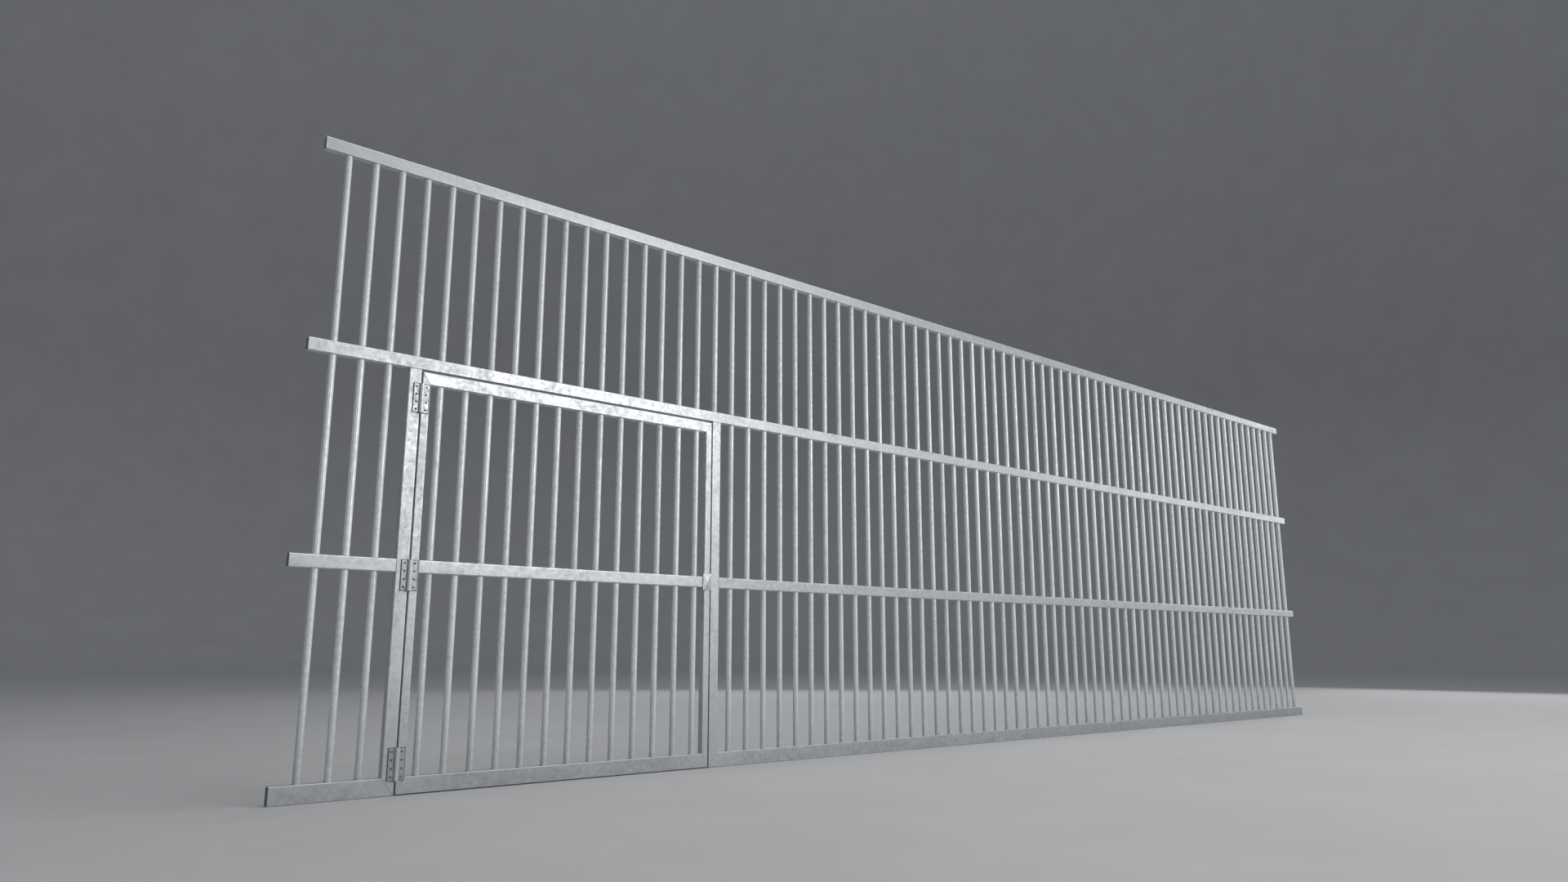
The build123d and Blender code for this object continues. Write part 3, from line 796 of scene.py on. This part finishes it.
def build_gate_welds():
    shell = Shell()
    butt_weld(shell, "gate_mid_rail", 0, 0)
    butt_weld(shell, "gate_mid_rail", 0, 1)
    stile_low, stile_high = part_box("hinge_stile")
    latch_low, latch_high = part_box("latch_stile")
    foot_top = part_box("gate_bottom_rail")[1].z
    head_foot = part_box("gate_top_rail")[0].z
    mitre_weld(shell, (stile_high.x, foot_top), (stile_low.x, stile_low.z))
    mitre_weld(shell, (latch_low.x, foot_top), (latch_high.x, latch_low.z))
    mitre_weld(shell, (stile_high.x, head_foot), (stile_low.x, stile_high.z))
    mitre_weld(shell, (latch_low.x, head_foot), (latch_high.x, latch_high.z))
    shell.piece("gate_frame_welds", "gate", "galvanised_section", POST_ZINC)


def build_stop_welds():
    """Fillets along the two stop plates' outer edges, behind the latch post."""
    low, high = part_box("gate_stops")
    post_low, post_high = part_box("latch_post")
    start_x = post_low.x + STOP_WELD_START
    shell = Shell()
    for z_low, z_high in ((low.z, low.z + STOP_HEIGHT), (high.z - STOP_HEIGHT, high.z)):
        corners = [
            Vector((start_x, post_high.y, z_low)),
            Vector((high.x, post_high.y, z_low)),
            Vector((high.x, post_high.y, z_high)),
            Vector((start_x, post_high.y, z_high)),
        ]
        weld_run(shell, corners, STOP_BEAD_RADIUS, closed=False)
    shell.piece("gate_stop_welds", "panel", "galvanised_section", POST_ZINC)


# ---------------------------------------------------------------------------
# Kept solids: softened edges and materials
# ---------------------------------------------------------------------------


def dress(node, material, edge_width, angle=EDGE_ANGLE):
    """Soften a solid's edges sharper than an angle and give it its material."""
    solid = frame["nodes"][node]
    weld = solid.modifiers.new("join", "WELD")
    weld.merge_threshold = JOIN_DISTANCE
    flats = solid.modifiers.new("flats", "DECIMATE")
    flats.decimate_type = "DISSOLVE"
    flats.angle_limit = math.radians(FLAT_ANGLE)
    if edge_width:
        bevel = solid.modifiers.new("edges", "BEVEL")
        bevel.width = edge_width
        bevel.segments = 2
        bevel.limit_method = "ANGLE"
        bevel.angle_limit = math.radians(angle)
        bevel.harden_normals = True
        bevel.use_clamp_overlap = True
    for face in solid.data.polygons:
        face.use_smooth = True
    solid.data.set_sharp_from_angle(angle=math.radians(angle))
    weighted = solid.modifiers.new("flat_faces", "WEIGHTED_NORMAL")
    weighted.keep_sharp = True
    solid.data.materials.clear()
    solid.data.materials.append(material)


def dress_small_parts():
    for level in ("bottom", "middle", "top"):
        hinge = level + "_hinge_"
        for leaf, outer in (("post_leaf", 0), ("gate_leaf", 1)):
            dress(hinge + leaf, hinge_plate(hinge, leaf, outer), 0.35 * MM)
        dress(hinge + "pin", PIN_STEEL, 0.0)
        dress(hinge + "post_screws", SCREW_ZINC, 0.0)
        dress(hinge + "gate_screws", SCREW_ZINC, 0.0)
    dress("latch_case", SHEET_ZINC, 0.8 * MM, CROWN_ANGLE)
    dress("latch_back_plate", SHEET_ZINC, 0.4 * MM)
    dress("latch_plate_screws", SCREW_ZINC, 0.0)
    dress("gate_stops", SHEET_ZINC, 0.6 * MM)
    dress("latch_bolt", BOLT_STEEL, 0.3 * MM)
    dress("bolt_bush_outer", BUSH_BRASS, 0.2 * MM)
    dress("bolt_bush_inner", BUSH_BRASS, 0.2 * MM)
    dress("bolt_knob", KNOB_BLACK, 0.4 * MM)


# ---------------------------------------------------------------------------
# Floor, lights and camera
# ---------------------------------------------------------------------------


def build_floor():
    """A pale floor that curves up into a backdrop all round."""
    profile = [(FLOOR_HOLE, 0.0), (FLOOR_RADIUS, 0.0)]
    for step in range(1, FLOOR_BEND_STEPS + 1):
        angle = math.radians(90 * step / FLOOR_BEND_STEPS)
        out = FLOOR_RADIUS + FLOOR_BEND * math.sin(angle)
        profile.append((out, FLOOR_BEND * (1 - math.cos(angle))))
    profile.append((FLOOR_RADIUS + FLOOR_BEND, BACKDROP_HEIGHT))
    bm = bmesh.new()
    rings = []
    for radius, height in profile:
        ring = []
        for step in range(FLOOR_SEGMENTS):
            angle = 2 * math.pi * step / FLOOR_SEGMENTS
            ring.append(bm.verts.new((radius * math.cos(angle), radius * math.sin(angle), height)))
        rings.append(ring)
    bm.faces.new(rings[0])
    for first, second in zip(rings, rings[1:]):
        for index in range(FLOOR_SEGMENTS):
            after = (index + 1) % FLOOR_SEGMENTS
            bm.faces.new((first[index], first[after], second[after], second[index]))
    for face in bm.faces:
        face.smooth = True
    mesh = bpy.data.meshes.new("floor")
    bm.to_mesh(mesh)
    bm.free()
    tree = Tree("floor_paint")
    where = tree.node("ShaderNodeTexCoord").outputs["Object"]
    mottle = tree.noise(where, 0.8, 4.0, 0.6)
    colour = tree.ramp(mottle, [(0.3, (0.50, 0.50, 0.50)), (0.7, (0.54, 0.54, 0.54))])
    normal = tree.bump(tree.noise(where, 60.0), 0.2 * MM, 0.3)
    mesh.materials.append(tree.finish(colour, 0.85, 0.0, normal))
    floor = bpy.data.objects.new("floor", mesh)
    bpy.context.scene.collection.objects.link(floor)


def soft_light(name, place, target, width, height, watts, tint=(1.0, 1.0, 1.0)):
    """A rectangular studio light that the camera doesn't see."""
    data = bpy.data.lights.new(name, "AREA")
    data.shape = "RECTANGLE"
    data.size = width
    data.size_y = height
    data.energy = watts
    data.color = tint
    light = bpy.data.objects.new(name, data)
    light.location = place
    light.rotation_euler = (Vector(target) - Vector(place)).to_track_quat("-Z", "Y").to_euler()
    light.visible_camera = False
    bpy.context.scene.collection.objects.link(light)


def build_lights():
    """A bright box and a long soft band in front, fills at both sides, behind and overhead."""
    world = bpy.data.worlds.new("studio")
    world.use_nodes = True
    background = world.node_tree.nodes["Background"]
    background.inputs["Color"].default_value = (0.84, 0.88, 0.94, 1)
    background.inputs["Strength"].default_value = 0.45
    bpy.context.scene.world = world
    soft_light("key", (1.4, -10.1, 4.4), (-3.8, 0.0, 1.8), 4.0, 2.6, 275, (1.0, 0.99, 0.97))
    soft_light("front_band", (7.5, -8.5, 4.0), (-1.0, 0.0, 1.8), 10.0, 3.8, 100)
    soft_light("near_side", (-9.8, -8.1, 3.6), (-3.5, 0.0, 1.6), 2.2, 4.4, 85)
    soft_light("right_fill", (13.5, -1.0, 3.6), (0.0, 0.0, 1.5), 9.0, 5.0, 235)
    soft_light("left_back", (-12.5, 6.0, 3.4), (-2.5, 0.0, 1.6), 4.0, 4.0, 6)
    soft_light("back_fill", (6.5, 8.0, 3.8), (-1.0, 0.0, 1.5), 9.0, 4.5, 150)
    soft_light("top_fill", (0.0, -2.0, 9.0), (0.0, 0.0, 1.0), 12.0, 6.0, 330)


def build_camera():
    """The photograph's viewpoint: low, near the left end, looking along the panel."""
    data = bpy.data.cameras.new("camera")
    data.sensor_width = 36.0
    data.lens = 24.43
    data.clip_end = 200.0
    camera = bpy.data.objects.new("camera", data)
    camera.location = (-6.4654, -4.8793, 0.6287)
    heading = 48.27                     # degrees from +X towards +Y
    pitch = 11.231                      # degrees upwards
    camera.rotation_euler = (math.radians(90 + pitch), 0, math.radians(heading - 90))
    bpy.context.scene.collection.objects.link(camera)
    bpy.context.scene.camera = camera


bpy.context.scene.view_settings.view_transform = "Standard"
build_camera()
build_lights()
build_floor()
build_members()
build_bars()
build_panel_welds()
build_gate_welds()
build_stop_welds()
dress_small_parts()
